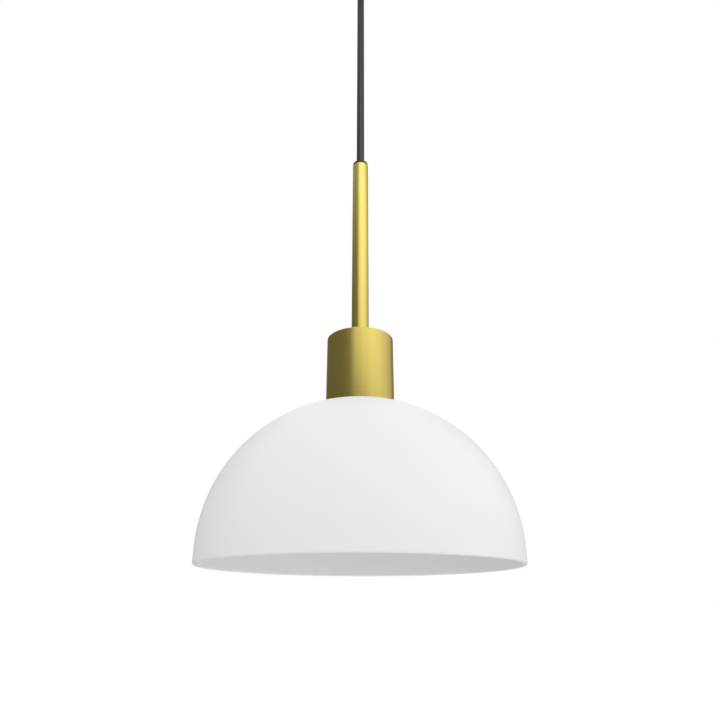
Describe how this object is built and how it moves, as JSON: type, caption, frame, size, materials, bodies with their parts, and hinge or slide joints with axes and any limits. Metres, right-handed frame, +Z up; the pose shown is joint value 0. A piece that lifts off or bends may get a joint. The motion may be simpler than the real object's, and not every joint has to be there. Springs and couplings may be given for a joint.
{
  "type": "pendant ceiling light",
  "caption": "Pendant light with an opal glass dome shade under a brass lampholder cup and stem, hung on a black cable from a round ceiling canopy.",
  "frame": {"origin": "centre of the mounting bracket's top face, which lies on the ceiling", "axes": "+Z up along the lamp's axis, out of the ceiling face; +X along the bracket, through both ceiling screw slots; the lamp hangs towards -Z"},
  "size_m": [0.21, 0.21, 0.6257],
  "materials": {
    "brushed_brass": "satin",
    "turned_brass": "bright",
    "zinc_steel": "satin",
    "nickel_shell": "polished",
    "opal_glass": "satin",
    "black_pvc": "satin",
    "black_plastic": "matte",
    "white_plastic": "matte",
    "clear_silicone": "satin",
    "core_insulation": "satin"
  },
  "bodies": {
    "bracket": {"mounting_bracket": "zinc_steel"},
    "canopy": {"canopy_cup": "brushed_brass", "canopy_side_nuts": "turned_brass", "canopy_side_screws": "brushed_brass", "cord_grip_body": "brushed_brass", "cord_grip_insert": "black_plastic", "cord_grip_screw": "zinc_steel", "grip_washer": "zinc_steel", "grip_locknut": "turned_brass", "canopy_cable_tail": "black_pvc", "canopy_cores": "core_insulation", "terminal_housing": "white_plastic", "terminal_inserts": "turned_brass", "terminal_screws": "zinc_steel"},
    "cable": {"suspension_cable": "black_pvc"},
    "pendant": {"stem_gland": "black_plastic", "gland_sleeve": "white_plastic", "stem_tube": "brushed_brass", "stem_cable": "black_pvc", "threaded_nipple": "zinc_steel", "lampholder_cup": "brushed_brass", "cup_washer": "zinc_steel", "cup_locknut": "turned_brass", "holder_cap": "black_plastic", "holder_lock_screw": "zinc_steel", "holder_shell": "black_plastic", "screw_shell": "nickel_shell", "holder_core": "white_plastic", "core_screws": "zinc_steel", "live_strap": "turned_brass", "neutral_strap": "turned_brass", "holder_terminals": "turned_brass", "holder_terminal_screws": "zinc_steel", "holder_cores": "core_insulation", "contact_spring": "zinc_steel"},
    "contact": {"centre_contact": "turned_brass"},
    "shade": {"upper_gasket": "clear_silicone", "glass_shade": "opal_glass", "lower_gasket": "clear_silicone"},
    "ring": {"shade_ring": "black_plastic"}
  },
  "joints": [
    {"name": "canopy_drop", "type": "slide", "parent": "bracket", "child": "canopy", "axis": [0, 0, -1], "range_m": [0, 0.04]},
    {"name": "cable_swing", "type": "hinge", "parent": "canopy", "child": "cable", "pos_m": [0, 0, -0.0405], "axis": [0, 1, 0], "range_deg": [-20, 20]},
    {"name": "stem_swing", "type": "hinge", "parent": "cable", "child": "pendant", "pos_m": [0, 0, -0.3025], "axis": [1, 0, 0], "range_deg": [-20, 20]},
    {"name": "contact_press", "type": "slide", "parent": "pendant", "child": "contact", "axis": [0, 0, 1], "range_m": [0, 0.0015], "stiffness_N_per_m": 2000, "springref_m": -0.0005, "deforming": ["contact_spring"]},
    {"name": "shade_drop", "type": "slide", "parent": "pendant", "child": "shade", "axis": [0, 0, -1], "range_m": [0, 0.0075]},
    {"name": "ring_turn", "type": "hinge", "parent": "shade", "child": "ring", "pos_m": [0, 0, -0.528], "axis": [0, 0, -1], "range_deg": [0, 1080]}
  ],
  "couplings": [
    {"joint": "ring_turn", "follows": "shade_drop", "rad_per_m": 2513.3}
  ]
}
